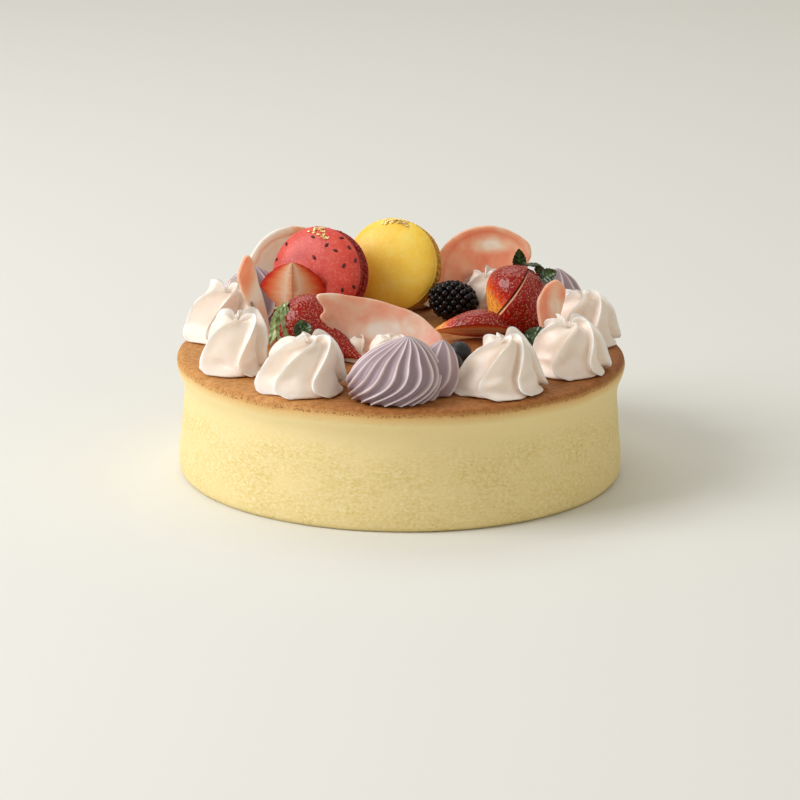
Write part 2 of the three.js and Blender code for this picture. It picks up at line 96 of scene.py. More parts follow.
def node(tree, kind, operation=None, *values, out=None, stops=(), **given):
    """Adds a shader node and returns its output of the name out, or else its first."""
    added = tree.nodes.new("ShaderNode" + kind)
    if operation:
        added.operation = operation
    if kind == "Mix":
        added.data_type = "RGBA"
    for key in SETTINGS:
        if key in given:
            setattr(added, key, given.pop(key))
    plug(added, *values, **given)
    if stops:
        ramp = added.color_ramp
        while len(ramp.elements) < len(stops):
            ramp.elements.new(0.5)
        for element, (position, colour) in zip(ramp.elements, stops):
            element.position = position
            element.color = linear(colour)
    return added.outputs[out] if out else next(s for s in added.outputs if s.enabled)


def material(name, **given):
    """A material, a function that adds nodes to it, its surface and its object coordinates."""
    made = bpy.data.materials.new(name)
    made.use_nodes = True
    add = partial(node, made.node_tree)
    surface = made.node_tree.nodes["Principled BSDF"]
    plug(surface, **given)
    return made, add, surface, add("TexCoord", out="Object")


paper, add, surface, here = material("matt_paper", roughness=0.9, base_color="#e4e4de")
grain = add("TexNoise", vector=here, scale=900.0, detail=2.0)
plug(surface, normal=add("Bump", height=grain, strength=0.02, distance=0.0002))

# The sheet lies a hair under the cake, and its back edge is drawn up into the wall
bpy.ops.mesh.primitive_plane_add(size=8, location=(0, 0, -0.3 * MM))
floor = bpy.context.object
floor.name = "floor"
bpy.ops.object.mode_set(mode="EDIT")
bpy.ops.mesh.select_all(action="DESELECT")
bpy.ops.object.mode_set(mode="OBJECT")
for edge in floor.data.edges:
    edge.select = all(floor.data.vertices[k].co.y > 3.9 for k in edge.vertices)
bpy.ops.object.mode_set(mode="EDIT")
for drawn in ((0, 0.6, 0.2), (0, 0.2, 0.7), (0, 0, 3)):
    bpy.ops.mesh.extrude_region_move(TRANSFORM_OT_translate={"value": drawn})
bpy.ops.object.mode_set(mode="OBJECT")
floor.data.materials.append(paper)


def softbox(name, at, width, height, power, colour):
    """A large diffuse lamp that faces the cake."""
    bpy.ops.object.light_add(type="AREA", location=at)
    lamp = bpy.context.object
    lamp.name = name
    lamp.rotation_euler = (Vector((0, 0, 0.05)) - Vector(at)).to_track_quat("-Z", "Y").to_euler()
    lamp.data.shape = "RECTANGLE"
    lamp.data.size = width
    lamp.data.size_y = height
    lamp.data.energy = power
    lamp.data.color = linear(colour)[:3]


softbox("window_left", (-1.6, -0.45, 1.2), 1.2, 1.2, 33, "#fbfbff")
softbox("top_back", (-0.4, 1.1, 1.7), 1.6, 1.0, 8, "#ffffff")
softbox("fill_right", (1.5, -1.3, 0.7), 1.5, 1.5, 2, "#fff4e4")
room = bpy.data.worlds.new("room")
bpy.context.scene.world = room
room.use_nodes = True
plug(room.node_tree.nodes["Background"], color="#f3efe4", strength=0.56)


# Cake: a tall light sponge baked in a water bath, browned on top only. Its side drew in under
# the rim as it cooled, which leaves a smooth waist, and the tin's paper has pulled off some skin.
def eased(points, between):
    """More points along a smooth curve through the given ones."""
    given = [Vector(point) for point in points]
    given = [2 * given[0] - given[1], *given, 2 * given[-1] - given[-2]]
    curve = []
    for a, b, c, d in zip(given, given[1:], given[2:], given[3:]):
        ab, bc, cd = (max((q - p).length, 1e-6) ** 0.5 for p, q in ((a, b), (b, c), (c, d)))
        leave = bc * ((b - a) / ab - (c - a) / (ab + bc) + (c - b) / bc)
        arrive = bc * ((c - b) / bc - (d - b) / (bc + cd) + (d - c) / cd)
        for k in range(between + 1):
            t = k / (between + 1)
            curve.append(
                (2 * t**3 - 3 * t**2 + 1) * b + (t**3 - 2 * t**2 + t) * leave
                + (3 * t**2 - 2 * t**3) * c + (t**3 - t**2) * arrive
            )
    return [*curve, given[-2]]


def turned(name, profile, steps, between=2):
    """A closed piece turned round Z from a profile in millimetres that runs upwards."""
    profile = [(max(point[0], 0), point[1]) for point in eased(profile, between)]
    bpy.ops.mesh.primitive_plane_add(size=MM)
    piece = bpy.context.object
    piece.name = name
    bpy.ops.object.mode_set(mode="EDIT")
    bpy.ops.mesh.merge(type="CENTER")
    place = Vector((0, 0, 0))
    for step, (radius, height) in enumerate(profile):
        point = Vector((radius, 0, height)) * MM
        if step == 0:
            bpy.ops.transform.translate(value=point)
        else:
            bpy.ops.mesh.extrude_region_move(TRANSFORM_OT_translate={"value": point - place})
        place = point
    bpy.ops.mesh.select_all(action="SELECT")
    bpy.ops.mesh.spin(steps=steps, angle=2 * math.pi, center=(0, 0, 0), axis=(0, 0, 1))
    bpy.ops.mesh.select_all(action="SELECT")
    bpy.ops.mesh.remove_doubles(threshold=1e-6)
    bpy.ops.mesh.normals_make_consistent(inside=False)
    bpy.ops.object.mode_set(mode="OBJECT")
    bpy.ops.object.shade_smooth()
    return piece


def finish_with(piece, kind, **settings):
    """Adds a modifier and applies it."""
    bpy.context.view_layer.objects.active = piece
    modifier = piece.modifiers.new(kind.lower(), kind)
    for key, value in settings.items():
        setattr(modifier, key, value)
    bpy.ops.object.modifier_apply(modifier=modifier.name)


def roughened(piece, size, depth, vertices=""):
    """Moves the surface in and out by up to half the depth, in lumps of that size, in mm."""
    lumps = bpy.data.textures.new("lumps", "CLOUDS")
    lumps.noise_scale = size * MM
    lumps.noise_depth = 2
    finish_with(
        piece, "DISPLACE", texture=lumps, strength=depth * MM, mid_level=0.5, vertex_group=vertices
    )


def dressed(piece, finish, record_slot, *nodes):
    """Gives the piece its material and puts it in the frame in place of its CAD nodes."""
    piece.data.materials.append(finish)
    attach(piece, "root")
    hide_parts(*nodes)


cake_profile = [
    (0, 0), (30, 0), (60, 0), (85, 0), (96, 0), (99, 0.25), (100.3, 1.6), (100.7, 4), (100.8, 7),
    (100.3, 14), (99.7, 19.5), (99.2, 25), (98.7, 31), (98.3, 36), (98.4, 39.5), (99.1, 43),
    (100.3, 46), (101.2, 48.6), (101.5, 50.8), (101.35, 52.4), (100.7, 53.6), (99.2, 54.4),
    (96, 54.6), (88, 54.5), (78, 54.5), (62, 54.5), (40, 54.5), (20, 54.5), (0, 54.5),
]
# The roughened side is drawn in to stay inside the CAD box, and the underside is set flat again
DRAWN_IN = 0.998
FLAT_BELOW = 0.4 * MM
cake = turned("cheesecake", cake_profile, 540)
roughened(cake, 30, 0.5)
roughened(cake, 6, 0.16)
for corner in cake.data.vertices:
    corner.co.xy *= DRAWN_IN
    if corner.co.z < FLAT_BELOW:
        corner.co.z = 0

crust, add, surface, here = material(
    "baked_souffle_sponge", roughness=0.72, subsurface_weight=0.12,
    subsurface_radius=(0.006, 0.004, 0.0015), subsurface_scale=1.0,
)
height = add("SeparateXYZ", vector=here, out="Z")
# Under the waist the paper has pulled off the skin in patches and bared a fine crumb
flat = add("Mapping", vector=here, scale=(1, 1, 1.7))
crumb = add("TexNoise", vector=flat, scale=560.0, detail=5.0, roughness=0.68)
patches = add("TexNoise", vector=flat, scale=45.0, detail=4.0, roughness=0.6)
bared = add("MapRange", value=patches, from_min=0.36, from_max=0.6, to_min=0.35)
waist = add("MapRange", value=height, from_min=0.031, from_max=0.041, to_min=1.0, to_max=0.12)
bared = add("Math", "MULTIPLY", bared, waist)
crumb_tone = add(
    "ValToRGB", fac=crumb,
    stops=[(0.3, "#d8bd70"), (0.43, "#e4cd86"), (0.56, "#edd99d"), (0.74, "#f8ecc4")],
)
side = add("Mix", factor=bared, a="#efdaa0", b=crumb_tone)
# The crust ends in a ragged line just under the widest part of the rim. It is golden there, with
# the darkest specks along it
broad = add("TexNoise", vector=here, scale=20.0, detail=2.0)
fine = add("TexNoise", vector=here, scale=750.0, detail=4.0, roughness=0.7)
edge = add("Math", "MULTIPLY_ADD", broad, 0.003, height)
edge = add("Math", "MULTIPLY_ADD", fine, 0.0022, edge)
golden = add("MapRange", value=edge, from_min=0.0498, from_max=0.055, to_max=0.85)
side = add("Mix", factor=golden, a=side, b="#d39c4c")
baked = add("MapRange", value=edge, from_min=0.0534, from_max=0.0562)
# On top the brown is speckled, and it is painted paler towards the left: painted light from the
# lamp on that side
spots = add("TexNoise", vector=here, scale=420.0, detail=6.0, roughness=0.72)
clouds = add("TexNoise", vector=here, scale=18.0, detail=3.0)
browned = add(
    "ValToRGB", fac=spots,
    stops=[(0.3, "#95602c"), (0.44, "#b97f41"), (0.58, "#cb9453"), (0.75, "#dbaa6e")],
)
across = add("SeparateXYZ", vector=here, out="X")
clouds = add("Math", "MULTIPLY_ADD", across, -2.4, clouds)
painted_light_tint = add("ValToRGB", fac=clouds, stops=[(0.25, "#bd9c78"), (0.5, "#e0c9a9"), (0.7, "#fffcf6")])
browned = add("Mix", blend_type="MULTIPLY", factor=1.0, a=browned, b=painted_light_tint)
colour = add("Mix", factor=baked, a=side, b=browned)
specks = add("TexNoise", vector=here, scale=1100.0, detail=1.0)
specks = add("MapRange", value=specks, from_min=0.56, from_max=0.66)
along = add("Math", "COMPARE", edge, 0.0552, 0.0011)
specks = add("Math", "MULTIPLY", specks, along)
colour = add("Mix", factor=specks, a=colour, b="#94602e")
relief = add("Math", "MULTIPLY", bared, crumb)
relief = add("Math", "MULTIPLY_ADD", spots, 0.5, relief)
relief = add("Bump", height=relief, strength=0.55, distance=0.0006)
plug(surface, base_color=colour, normal=relief)
dressed(cake, crust, "sponge", "cake")


# White cream: whipped cream piped through an open star nozzle with a slow turn of the wrist. The
# star leaves broad petals with thin edges; they curl out at the foot and tear into points on top.
def keep(piece, name, values):
    """Keeps one value for each corner of the piece, for its material."""
    piece.data.attributes.new(name, "FLOAT", "POINT").data.foreach_set("value", values)


def bent_grid(name, columns, rows, place, mark=None, closed=True):
    """A grid bent into shape. place(u, v) gives each corner's place in mm, with u and v from 0 to
    1, and corners that meet are joined. mark(u, v) is kept as the attribute "mark"."""
    bpy.ops.mesh.primitive_grid_add(x_subdivisions=columns, y_subdivisions=rows, size=1)
    piece = bpy.context.object
    piece.name = name
    uv = [(corner.co.x + 0.5, corner.co.y + 0.5) for corner in piece.data.vertices]
    for corner, (u, v) in zip(piece.data.vertices, uv):
        corner.co = Vector(place(u, v)) * MM
    if mark:
        keep(piece, "mark", [mark(u, v) for u, v in uv])
    bpy.ops.object.mode_set(mode="EDIT")
    bpy.ops.mesh.select_all(action="SELECT")
    bpy.ops.mesh.remove_doubles(threshold=2e-6)
    if closed:
        bpy.ops.mesh.select_all(action="DESELECT")
        bpy.ops.mesh.select_non_manifold()
        bpy.ops.mesh.edge_face_add()
        bpy.ops.mesh.select_all(action="SELECT")
    bpy.ops.mesh.normals_make_consistent(inside=False)
    bpy.ops.object.mode_set(mode="OBJECT")
    bpy.ops.object.shade_smooth()
    return piece


def piped(name, columns, steps, rows, place, sharpness, *lumps):
    """A swirl whose every steps-th column is a sharp ridge. Each lump is a size and a depth."""

    def mark(u, v):
        return float(round(u * columns) % steps == 0)

    piece = bent_grid(name, columns, rows, place, mark)
    marks = np.zeros(len(piece.data.vertices), np.float32)
    piece.data.attributes["mark"].data.foreach_get("value", marks)
    ends = np.zeros(2 * len(piece.data.edges), np.int32)
    piece.data.edges.foreach_get("vertices", ends)
    sharp = (marks[ends].reshape(-1, 2).min(1) > 0.9) * sharpness
    crease = piece.data.attributes.new("crease_edge", "FLOAT", "EDGE")
    crease.data.foreach_set("value", sharp.astype(np.float32))
    finish_with(piece, "SUBSURF", levels=2, render_levels=2)
    for size, depth in lumps:
        roughened(piece, size, depth)
    return piece


def through(knots, position):
    """The value at a position, along straight lines between (position, value) knots."""
    return float(np.interp(position, *zip(*knots)))


def bell(distance, width):
    """1 at no distance, falling away smoothly over the width."""
    return math.exp(-((distance / width) ** 2))


def on_swirl(x, y, height, tip, share, angle, r):
    """A place at a share of a swirl's height, where its axis has bent over towards the tip."""
    drift = share * share
    return (
        x + r * math.cos(angle) + tip[0] * drift,
        y + r * math.sin(angle) + tip[1] * drift,
        TABLE + height * share,
    )


# The top of the cake, where everything stands
TABLE = 54.8
# Each row up a swirl: its share of the height, its share of the radius and its petals' depth
white_rows = [
    (0, 0.86, 0.4), (0.012, 0.97, 0.5), (0.045, 1.03, 0.6), (0.09, 1.03, 0.7), (0.145, 1.02, 0.8),
    (0.21, 1.0, 0.9), (0.29, 0.97, 1.0), (0.37, 0.94, 1.0), (0.46, 0.92, 1.0), (0.56, 0.9, 1.0),
    (0.66, 0.86, 1.0), (0.76, 0.79, 1.0), (0.85, 0.68, 1.0), (0.92, 0.54, 0.95),
    (0.96, 0.38, 0.8), (0.93, 0.2, 0.6), (0.86, 0.06, 0.2),
]
# Each step across a petal: on from its lip along its face, then back under the next one's lip
scooped_steps = [
    (0, 0), (0.05, 0.3), (0.16, 0.66), (0.34, 0.92), (0.58, 1), (0.84, 1), (1.02, 0.98),
    (1.07, 0.8), (1.04, 0.4),
]
bulging_steps = [
    (0, 0), (0.08, 0.04), (0.25, 0.08), (0.48, 0.2), (0.72, 0.5), (0.93, 0.92), (1.05, 1.02),
    (1.08, 0.85), (1.04, 0.42),
]
white_turn = [(0, 0.5), (0.05, 0.2), (0.13, -0.14), (0.3, -0.2), (0.6, 0.1), (0.85, 0.5), (1, 1)]


def white_swirl(
    name, x, y, radius, height, start=0.0, tip=(0, 0), petals=6, seed=1, narrow=0.0, even=1.0
):
    """narrow thins the swirl towards its top. even, from 1 to 0, makes its petals shallower and
    its top smoother."""
    draw = np.random.default_rng(seed)
    widths = draw.uniform(0.7, 1.3, petals)
    lips = 2 * math.pi * np.concatenate([[0], np.cumsum(widths)]) / widths.sum()
    reach = 1 + draw.uniform(-0.06, 0.05, petals)
    torn = draw.uniform(-0.02, 0.16, petals) * even
    laps = np.clip(draw.uniform(-0.5, 1.3, petals), 0, 1)
    deep = draw.uniform(0.3, 0.46, petals) * even
    scoop = np.clip(draw.uniform(0.1, 1.3, petals), 0, 1)
    hollow = np.clip(draw.uniform(-0.3, 1.5, petals), 0, 1)
    steps, last = len(scooped_steps), len(white_rows) - 1
    columns = petals * steps

    def place(u, v):
        column, row = round(u * columns) % columns, round(v * last)
        petal, step = divmod(column, steps)
        after = (petal + 1) % petals
        share, out, depth = white_rows[row]
        phase, full = (
            a * scoop[petal] + b * (1 - scoop[petal])
            for a, b in zip(scooped_steps[step], bulging_steps[step])
        )
        top = max(0, (share - 0.75) / 0.25)
        level = min(phase, 1)
        size = reach[petal] * (1 - level) + reach[after] * level
        own = deep[petal] * (1 - level) + deep[after] * level
        angle = start + lips[petal] + phase * (lips[petal + 1] - lips[petal])
        angle += through(white_turn, share) * (0.75 + 0.5 * top)
        # Low down a petal is hollow, and under that its foot curls out
        across = max(math.sin(math.pi * level), 0)
        out -= 0.3 * hollow[petal] * across * bell(share - 0.16, 0.075)
        out += 0.07 * hollow[petal] * across * bell(share - 0.03, 0.04)
        out *= 1 - narrow * max(0, share - 0.15)
        # Half way up, the turn of the wrist lays a fold of the petal over the one before
        lap = laps[petal] * across**0.5
        if 0.1 < share < 0.35:
            out *= 1 + 0.08 * lap
        elif 0.35 < share < 0.5:
            out *= 1 - 0.04 * lap
        if 0.2 < share < 0.5:
            share += 0.14 * lap * (phase - 0.45)
        r = radius * out * size * (1 - depth * full * own * (1 - 0.5 * lap))
        # On top each lip is torn up into a point, and the faces between sink
        if step == 0:
            share += torn[petal] * max(0, 1 - abs(share - 0.93) / 0.12)
        else:
            share -= 0.12 * top * full
        return on_swirl(x, y, height, tip, share, angle, r)

    return piped(name, columns, steps, last, place, 0.5, (9, 1.1), (2.2, 0.12))


def cream_finish(name, shaded_hollow_colour, colour, lit_ridge_colour):
    """Smooth whipped cream: light soaks in. Painted highlight on its ridges, painted shade in its
    hollows.
    """
    made, add, surface, here = material(
        name, roughness=0.42, subsurface_weight=0.35, ior=1.45,
        subsurface_radius=(0.003, 0.0025, 0.0021), subsurface_scale=1.0,
    )
    ridge = add("Attribute", attribute_name="mark", out="Fac")
    soft = add("TexNoise", vector=here, scale=60.0, detail=2.0)
    ridge = add("Math", "MULTIPLY_ADD", soft, 0.25, ridge)
    # Painted light: palest on the ridges as a painted highlight, darkest in the hollows as painted
    # shade
    stops = [(0.1, shaded_hollow_colour), (0.45, colour), (0.95, lit_ridge_colour)]
    fine = add("TexNoise", vector=here, scale=900.0, detail=2.0)
    fine = add("Bump", height=fine, strength=0.12, distance=0.0002)
    plug(surface, base_color=add("ValToRGB", fac=ridge, stops=stops), normal=fine)
    return made


white_cream = cream_finish("whipped_cream", "#f5e6d8", "#faf0e5", "#fffaf3")
white_swirls = [
    ("cream_front_left", -42.5, -67.5, 20.8, 24.5, 0.2, (3, 1), 6, 11, 0.08),
    ("cream_front_right", 43, -66, 20.8, 25.5, 1, (1, 0), 6, 12, 0.3),
    ("cream_left_front", -74.5, -38, 16.2, 26.5, 0.7, (3, 2), 5, 13),
    ("cream_right_front", 75, -34.5, 17.8, 24.5, 0.1, (-2, 0), 6, 14),
    ("cream_left", -82.3, 17.5, 17.8, 26, 0.4, (3, 1), 5, 15),
    ("cream_right", 83, 17, 17.4, 24, 0.9, (-1, 1), 6, 16),
    ("cream_inner_left", -20, -18, 6.2, 12, 0.3, (0, 0), 4, 17, 0, 0.5),
    ("cream_inner_right", -4.5, -35, 11.5, 16.5, 0.9, (0, 0), 5, 18, 0, 0.3),
    ("cream_inner_back", 39.3, 67.5, 12.5, 21.5, 0.5, (0, 0), 5, 19),
    ("cream_back_right", 35.5, 84, 13, 19, 0.2, (0, 0), 5, 20),
    ("cream_back", 3, 86, 14.5, 22, 0.3, (0, 0), 6, 21),
    ("cream_back_left", -29, 76, 15, 22, 0.8, (0, 0), 6, 22),
]
for name, *shape in white_swirls:
    swirl = white_swirl("whipped_" + name, *shape)
    dressed(swirl, white_cream, "white_cream", name)


# Lavender cream: the same cream, tinted, through a fine closed star nozzle. It leaves narrow
# ridges, which run in an S from the foot up to the crown. Their edges are painted pale, a painted
# highlight, and the grooves between them darker, painted shade.
ridge_steps = [(0, 1.01), (0.16, 0.93), (0.5, 0.855), (0.84, 0.92)]
lavender_rows = [
    (0, 0.86), (0.03, 0.92), (0.1, 0.97), (0.2, 1.0), (0.32, 1.0), (0.45, 0.95), (0.58, 0.86),
    (0.7, 0.73), (0.8, 0.58), (0.88, 0.42), (0.95, 0.22), (1, 0.04),
]
lavender_turn = [
    (0, -0.8), (0.06, -0.7), (0.14, -0.47), (0.24, -0.2), (0.36, -0.02), (0.5, 0.05), (0.7, 0.02),
    (1, 0.12),
]


def lavender_swirl(name, x, y, radius, height, ridges, start=0.0, tip=(0, 0)):
    draw = np.random.default_rng(round(abs(31 * x + 17 * y)))
    reach = 1 + draw.uniform(-0.025, 0.025, ridges)
    shift = draw.uniform(-0.05, 0.05, ridges)
    steps, last = len(ridge_steps), len(lavender_rows) - 1
    columns = ridges * steps

    def place(u, v):
        column, row = round(u * columns) % columns, round(v * last)
        ridge, step = divmod(column, steps)
        share, out = lavender_rows[row]
        phase, full = ridge_steps[step]
        after = (ridge + 1) % ridges
        own = (shift[ridge] * (1 - phase) + shift[after] * phase) * (1 - share)
        size = reach[ridge] * (1 - phase) + reach[after] * phase
        wound = start + own + through(lavender_turn, share)
        angle = 2 * math.pi * (ridge + phase) / ridges + wound
        return on_swirl(x, y, height, tip, share, angle, radius * out * full * size)

    return piped(name, columns, steps, last, place, 0.7, (12, 0.7), (1.8, 0.1))


lavender_cream = cream_finish("lavender_cream", "#a28d94", "#bba6a9", "#e0d1d2")
lavender_swirls = [
    ("lavender_front", -3, -79.3, 20.8, 26.8, 19, 0.3, (6.2, 0.5)),
    ("lavender_front_small", 14, -73, 10.8, 23.5, 7, 0.0, (4, 2)),
    ("lavender_back_left", -69, 47, 17, 27.5, 12, 0.2),
    ("lavender_back_right", 69.5, 49, 15.8, 27, 11, 0.5, (3, 0)),
]
for name, *shape in lavender_swirls:
    swirl = lavender_swirl("piped_" + name, *shape)
    dressed(swirl, lavender_cream, "lavender_cream", name)


# Macarons: almond meringue piped in rounds and baked, two shells on a smear of filling. A shell is
# a smooth matt dome over a frilled foot; the red one is strewn with seeds, and both with gold leaf.
FOOT_TOP = 4.4
SHELL_TOP = 10.2
MACARON_RADIUS = 22.1
# The frill lies between these heights and outside this radius
FRILL_FROM, FRILL_TO, FRILL_OUTSIDE = 2.5, 4.9, 20


def dome(share):
    """The height of a shell's top, at a share of its radius."""
    return FOOT_TOP + (SHELL_TOP - FOOT_TOP) * max(1 - share**2.6, 0) ** 0.6


def standing(at, axis, up=(0, 0, 1)):
    """Puts local Z along axis, with local Y leaning towards up."""
    z = Vector(axis).normalized()
    x = Vector(up).cross(z).normalized()
    return Matrix.Translation(Vector(at) * MM) @ axes(x, z.cross(x), z)


shell_profile = [
    (0, 2.45), (12, 2.45), (19, 2.45), (21, 2.5), (21.6, 2.8), (21.8, 3.3), (21.6, 3.85),
    (21.2, 4.25), (21.4, 4.55), (21.9, 4.8), (22.1, 5.1),
]
shell_profile += [
    (share * MACARON_RADIUS, dome(share))
    for share in (0.985, 0.96, 0.92, 0.86, 0.78, 0.68, 0.56, 0.43, 0.3, 0.15, 0)
]
filling_profile = [
    (0, -2), (12, -2), (19, -1.95), (20.3, -1.6), (20.8, -0.8), (20.9, 0.2), (20.6, 1),
    (20.2, 1.7), (19, 2), (12, 2), (0, 2),
]


def macaron_shell(name):
    shell = turned(name, shell_profile, 360)
    foot = [
        FRILL_FROM < v.co.z / MM < FRILL_TO and v.co.xy.length / MM > FRILL_OUTSIDE
        for v in shell.data.vertices
    ]
    keep(shell, "mark", [float(inside) for inside in foot])
    frill = shell.vertex_groups.new(name="frill")
    frill.add([k for k, inside in enumerate(foot) if inside], 1.0, "REPLACE")
    roughened(shell, 1.3, 2.6, "frill")
    roughened(shell, 0.5, 1.5, "frill")
    shell.vertex_groups.clear()
    roughened(shell, 11, 0.35)
    roughened(shell, 0.9, 0.05)
    return shell


def joined(name, pieces):
    bpy.ops.object.select_all(action="DESELECT")
    for piece in pieces:
        piece.select_set(True)
    bpy.context.view_layer.objects.active = pieces[0]
    if len(pieces) > 1:
        bpy.ops.object.join()
    whole = bpy.context.object
    whole.name = name
    bpy.ops.object.select_all(action="DESELECT")
    return whole


def copied(name, grain, places):
    """One small grain copied to each place, and the copies joined. The grain itself goes."""
    copies = []
    for place in places:
        copy = bpy.data.objects.new(name, grain.data.copy())
        bpy.context.collection.objects.link(copy)
        copy.data.transform(place)
        copies.append(copy)
    bpy.data.objects.remove(grain)
    return joined(name, copies)


def strewn(name, grain, spots, at, axis, size):
    """Copies of a grain, laid on a macaron's dome at (share of the radius, angle) spots."""
    places = []
    for share, angle in spots:
        lying = (
            Matrix.Rotation(angle, 4, "Z")
            @ Matrix.Translation(Vector((share * MACARON_RADIUS, 0, dome(share) + 0.1)) * MM)
            @ Matrix.Rotation(1.2 * share**2, 4, "Y")
            @ Matrix.Rotation(2.4 * angle, 4, "Z")
            @ Matrix.Diagonal(Vector((*size, 1)))
        )
        places.append(standing(at, axis) @ lying)
    return copied(name, grain, places)


def shell_finish(name, dark, colour, light, glint_colour, foot_colour):
    """Baked almond meringue: matt, softly mottled and finely pitted, with a crusty foot. Its pale
    specks are painted glints.
    """
    made, add, surface, here = material(
        name, roughness=0.42, subsurface_weight=0.08, subsurface_scale=0.002,
        sheen_weight=0.12, sheen_roughness=0.5,
    )
    cloud = add("TexNoise", vector=here, scale=90.0, detail=5.0, roughness=0.6)
    tone = add("ValToRGB", fac=cloud, stops=[(0.3, dark), (0.52, colour), (0.75, light)])
    pores = add("TexNoise", vector=here, scale=900.0, detail=3.0, roughness=0.7)
    # Painted highlight: pale specks on the pores stand for fine glints of light
    painted_glints = add("MapRange", value=pores, from_min=0.52, from_max=0.68, to_max=0.4)
    tone = add("Mix", factor=painted_glints, a=tone, b=glint_colour)
    foot = add("Attribute", attribute_name="mark", out="Fac")
    tone = add("Mix", factor=foot, a=tone, b=foot_colour)
    pitted = add("Bump", height=pores, strength=0.45, distance=0.0003)
    plug(surface, base_color=tone, normal=pitted)
    return made


def filling_finish(name, dark, light):
    """Smooth jam or caramel, a little glossy."""
    made, add, surface, here = material(
        name, roughness=0.4, subsurface_weight=0.2, subsurface_scale=0.002
    )
    cloud = add("TexNoise", vector=here, scale=300.0, detail=3.0)
    plug(surface, base_color=add("ValToRGB", fac=cloud, stops=[(0.3, dark), (0.7, light)]))
    return made


red_shell = shell_finish(
    "red_macaron_shell", "#c22a1c", "#d64232", "#e25e4c", "#ee9c84", "#a3201a"
)
yellow_shell = shell_finish(
    "yellow_macaron_shell", "#fbc934", "#ffd647", "#ffe36c", "#ffe994", "#ecb652"
)
red_filling = filling_finish("red_macaron_filling", "#7d1519", "#9a1f22")
yellow_filling = filling_finish("yellow_macaron_filling", "#c9852a", "#dd9f3c")
seed_coat = material("roasted_seed", base_color="#571812", roughness=0.6)[0]
gold_leaf, add, surface, here = material(
    "gold_leaf", base_color="#ffe7a6", metallic=1.0, roughness=0.42
)
crinkle = add("TexNoise", vector=here, scale=1800.0)
plug(surface, normal=add("Bump", height=crinkle, strength=0.5, distance=0.0002))

seed_spots = [
    (0.77, 1.73), (0.66, 1.22), (0.68, 0.87), (0.33, 1.58), (0.93, 0.73), (0.7, 0.33),
    (0.93, 2.49), (0.95, 2.92), (0.94, 1.02), (0.94, 0.4), (0.93, -0.21), (0.75, -0.39),
]
red_gold_spots = [(0.95, 1.72), (0.95, 1.55), (0.8, 1.42)]
yellow_gold_spots = [(0.96, 1.76), (0.96, 1.6), (0.96, 1.44), (0.95, 1.3)]


def scattered(spots, spread, count, seed):
    """A few more spots round each, closer to it than spread and none past the dome's edge."""
    draw = np.random.default_rng(seed)
    return [
        (min(share + draw.normal(0, spread), 0.98), angle + draw.normal(0, spread))
        for share, angle in spots
        for _ in range(count)
    ]


macarons = [
    ("red", (-37.8, 51, 77.2), (-0.36, -0.88, 0.3), red_shell, red_filling, red_gold_spots),
    ("yellow", (-3.6, 70, 77.2), (-0.26, -0.9, 0.33), yellow_shell, yellow_filling,
     yellow_gold_spots),
]
for colour, at, axis, finish, jam_finish, gold_spots in macarons:
    place = standing(at, axis)
    for side, turn in (("front", 0), ("back", math.pi)):
        shell = macaron_shell(f"macaron_{colour}_{side}")
        shell.data.transform(place @ Matrix.Rotation(turn, 4, "X"))
        dressed(shell, finish, f"{colour}_shell", f"{colour}_macaron_{side}_shell")
    jam = turned(f"macaron_{colour}_filling", filling_profile, 160)
    roughened(jam, 3, 0.7)
    jam.data.transform(place)
    dressed(jam, jam_finish, f"{colour}_filling", f"{colour}_macaron_filling")

    bpy.ops.mesh.primitive_grid_add(x_subdivisions=6, y_subdivisions=6, size=2 * MM)
    flake = bpy.context.object
    roughened(flake, 0.7, 1.2)
    finish_with(flake, "SOLIDIFY", thickness=0.06 * MM, offset=0)
    many = scattered(gold_spots, 0.04, 10, len(gold_spots))
    leaf = strewn(f"gold_leaf_{colour}", flake, many, at, axis, (1.0, 0.75, 0.6))
    dressed(leaf, gold_leaf, f"{colour}_shell")

bpy.ops.mesh.primitive_ico_sphere_add(subdivisions=3, radius=MM)
seed = bpy.context.object
roughened(seed, 0.5, 0.3)
name, at, axis = macarons[0][:3]
seeds = strewn("macaron_red_seeds", seed, seed_spots, at, axis, (1.25, 0.68, 0.5))
dressed(seeds, seed_coat, "red_shell")


# Strawberries: fresh and glossy, whole or cut with a knife. Each seed sits in its own pit, and the
# flesh pales from the skin to a streaky core.
BERRY_BULGE = 0.66
SKIN_PER_SEED = 4.4
PIT_RADIUS, PIT_DEPTH = 0.62, 0.45
SEED_INSET = 0.3
GOLDEN_ANGLE = math.pi * (3 - math.sqrt(5))


def berry_radius(share, radius, taper):
    return radius * max(math.sin(math.pi * share**taper), 0) ** BERRY_BULGE


